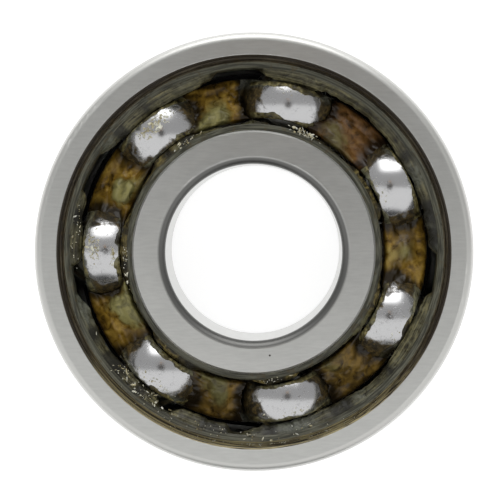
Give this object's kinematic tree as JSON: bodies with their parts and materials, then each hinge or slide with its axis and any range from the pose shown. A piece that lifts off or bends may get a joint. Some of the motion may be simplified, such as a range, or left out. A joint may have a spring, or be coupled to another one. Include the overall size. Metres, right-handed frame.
{
  "type": "deep groove ball bearing",
  "caption": "Deep groove ball bearing with a riveted pressed steel cage, greased, open at the front and closed by a rubber seal at the rear.",
  "frame": {"origin": "on the bearing's axis, in the plane of the ball centres, halfway between the two side faces", "axes": "+Z along the bearing's axis, out of the open front side; +X and +Y across it"},
  "size_m": [0.062, 0.062, 0.017],
  "materials": {
    "ring_steel": "satin ground bearing steel, polished in the raceways",
    "ball_steel": "mirror polished",
    "cage_steel": "bright pressed steel strip",
    "rivet_steel": "plain steel",
    "insert_steel": "plain sheet steel, moulded in",
    "seal_rubber": "matt nitrile rubber",
    "grease": "used amber-brown grease, wet"
  },
  "bodies": {
    "outer": {"outer_ring": "ring_steel", "rear_seal": "seal_rubber", "rear_seal_insert": "insert_steel"},
    "inner": {"inner_ring": "ring_steel"},
    "cage": {"cage_front": "cage_steel", "cage_rear": "cage_steel", "rivet_1": "rivet_steel", "rivet_2": "rivet_steel", "rivet_3": "rivet_steel", "rivet_4": "rivet_steel", "rivet_5": "rivet_steel", "rivet_6": "rivet_steel", "rivet_7": "rivet_steel", "grease_1": "grease", "grease_2": "grease", "grease_3": "grease", "grease_4": "grease", "grease_5": "grease", "grease_6": "grease", "grease_7": "grease"},
    "ball_body_1": {"ball_1": "ball_steel"},
    "ball_body_2": {"ball_2": "ball_steel"},
    "ball_body_3": {"ball_3": "ball_steel"},
    "ball_body_4": {"ball_4": "ball_steel"},
    "ball_body_5": {"ball_5": "ball_steel"},
    "ball_body_6": {"ball_6": "ball_steel"},
    "ball_body_7": {"ball_7": "ball_steel"}
  },
  "joints": [
    {"name": "inner_ring_spin", "type": "hinge", "parent": "outer", "child": "inner", "pos_m": [0, 0, 0], "axis": [0, 0, 1], "continuous": true},
    {"name": "cage_orbit", "type": "hinge", "parent": "outer", "child": "cage", "pos_m": [0, 0, 0], "axis": [0, 0, 1], "continuous": true},
    {"name": "ball_1_spin", "type": "hinge", "parent": "cage", "child": "ball_body_1", "pos_m": [0.01961, 0.0094, 0], "axis": [0, 0, 1], "continuous": true},
    {"name": "ball_2_spin", "type": "hinge", "parent": "cage", "child": "ball_body_2", "pos_m": [0.00488, 0.02119, 0], "axis": [0, 0, 1], "continuous": true},
    {"name": "ball_3_spin", "type": "hinge", "parent": "cage", "child": "ball_body_3", "pos_m": [-0.01353, 0.01703, 0], "axis": [0, 0, 1], "continuous": true},
    {"name": "ball_4_spin", "type": "hinge", "parent": "cage", "child": "ball_body_4", "pos_m": [-0.02175, 0.00004, 0], "axis": [0, 0, 1], "continuous": true},
    {"name": "ball_5_spin", "type": "hinge", "parent": "cage", "child": "ball_body_5", "pos_m": [-0.01359, -0.01698, 0], "axis": [0, 0, 1], "continuous": true},
    {"name": "ball_6_spin", "type": "hinge", "parent": "cage", "child": "ball_body_6", "pos_m": [0.0048, -0.02121, 0], "axis": [0, 0, 1], "continuous": true},
    {"name": "ball_7_spin", "type": "hinge", "parent": "cage", "child": "ball_body_7", "pos_m": [0.01958, -0.00948, 0], "axis": [0, 0, 1], "continuous": true}
  ],
  "couplings": [
    {"joint": "cage_orbit", "follows": "inner_ring_spin", "ratio": 0.36782},
    {"joint": "ball_1_spin", "follows": "inner_ring_spin", "ratio": -1.7591},
    {"joint": "ball_2_spin", "follows": "inner_ring_spin", "ratio": -1.7591},
    {"joint": "ball_3_spin", "follows": "inner_ring_spin", "ratio": -1.7591},
    {"joint": "ball_4_spin", "follows": "inner_ring_spin", "ratio": -1.7591},
    {"joint": "ball_5_spin", "follows": "inner_ring_spin", "ratio": -1.7591},
    {"joint": "ball_6_spin", "follows": "inner_ring_spin", "ratio": -1.7591},
    {"joint": "ball_7_spin", "follows": "inner_ring_spin", "ratio": -1.7591}
  ]
}
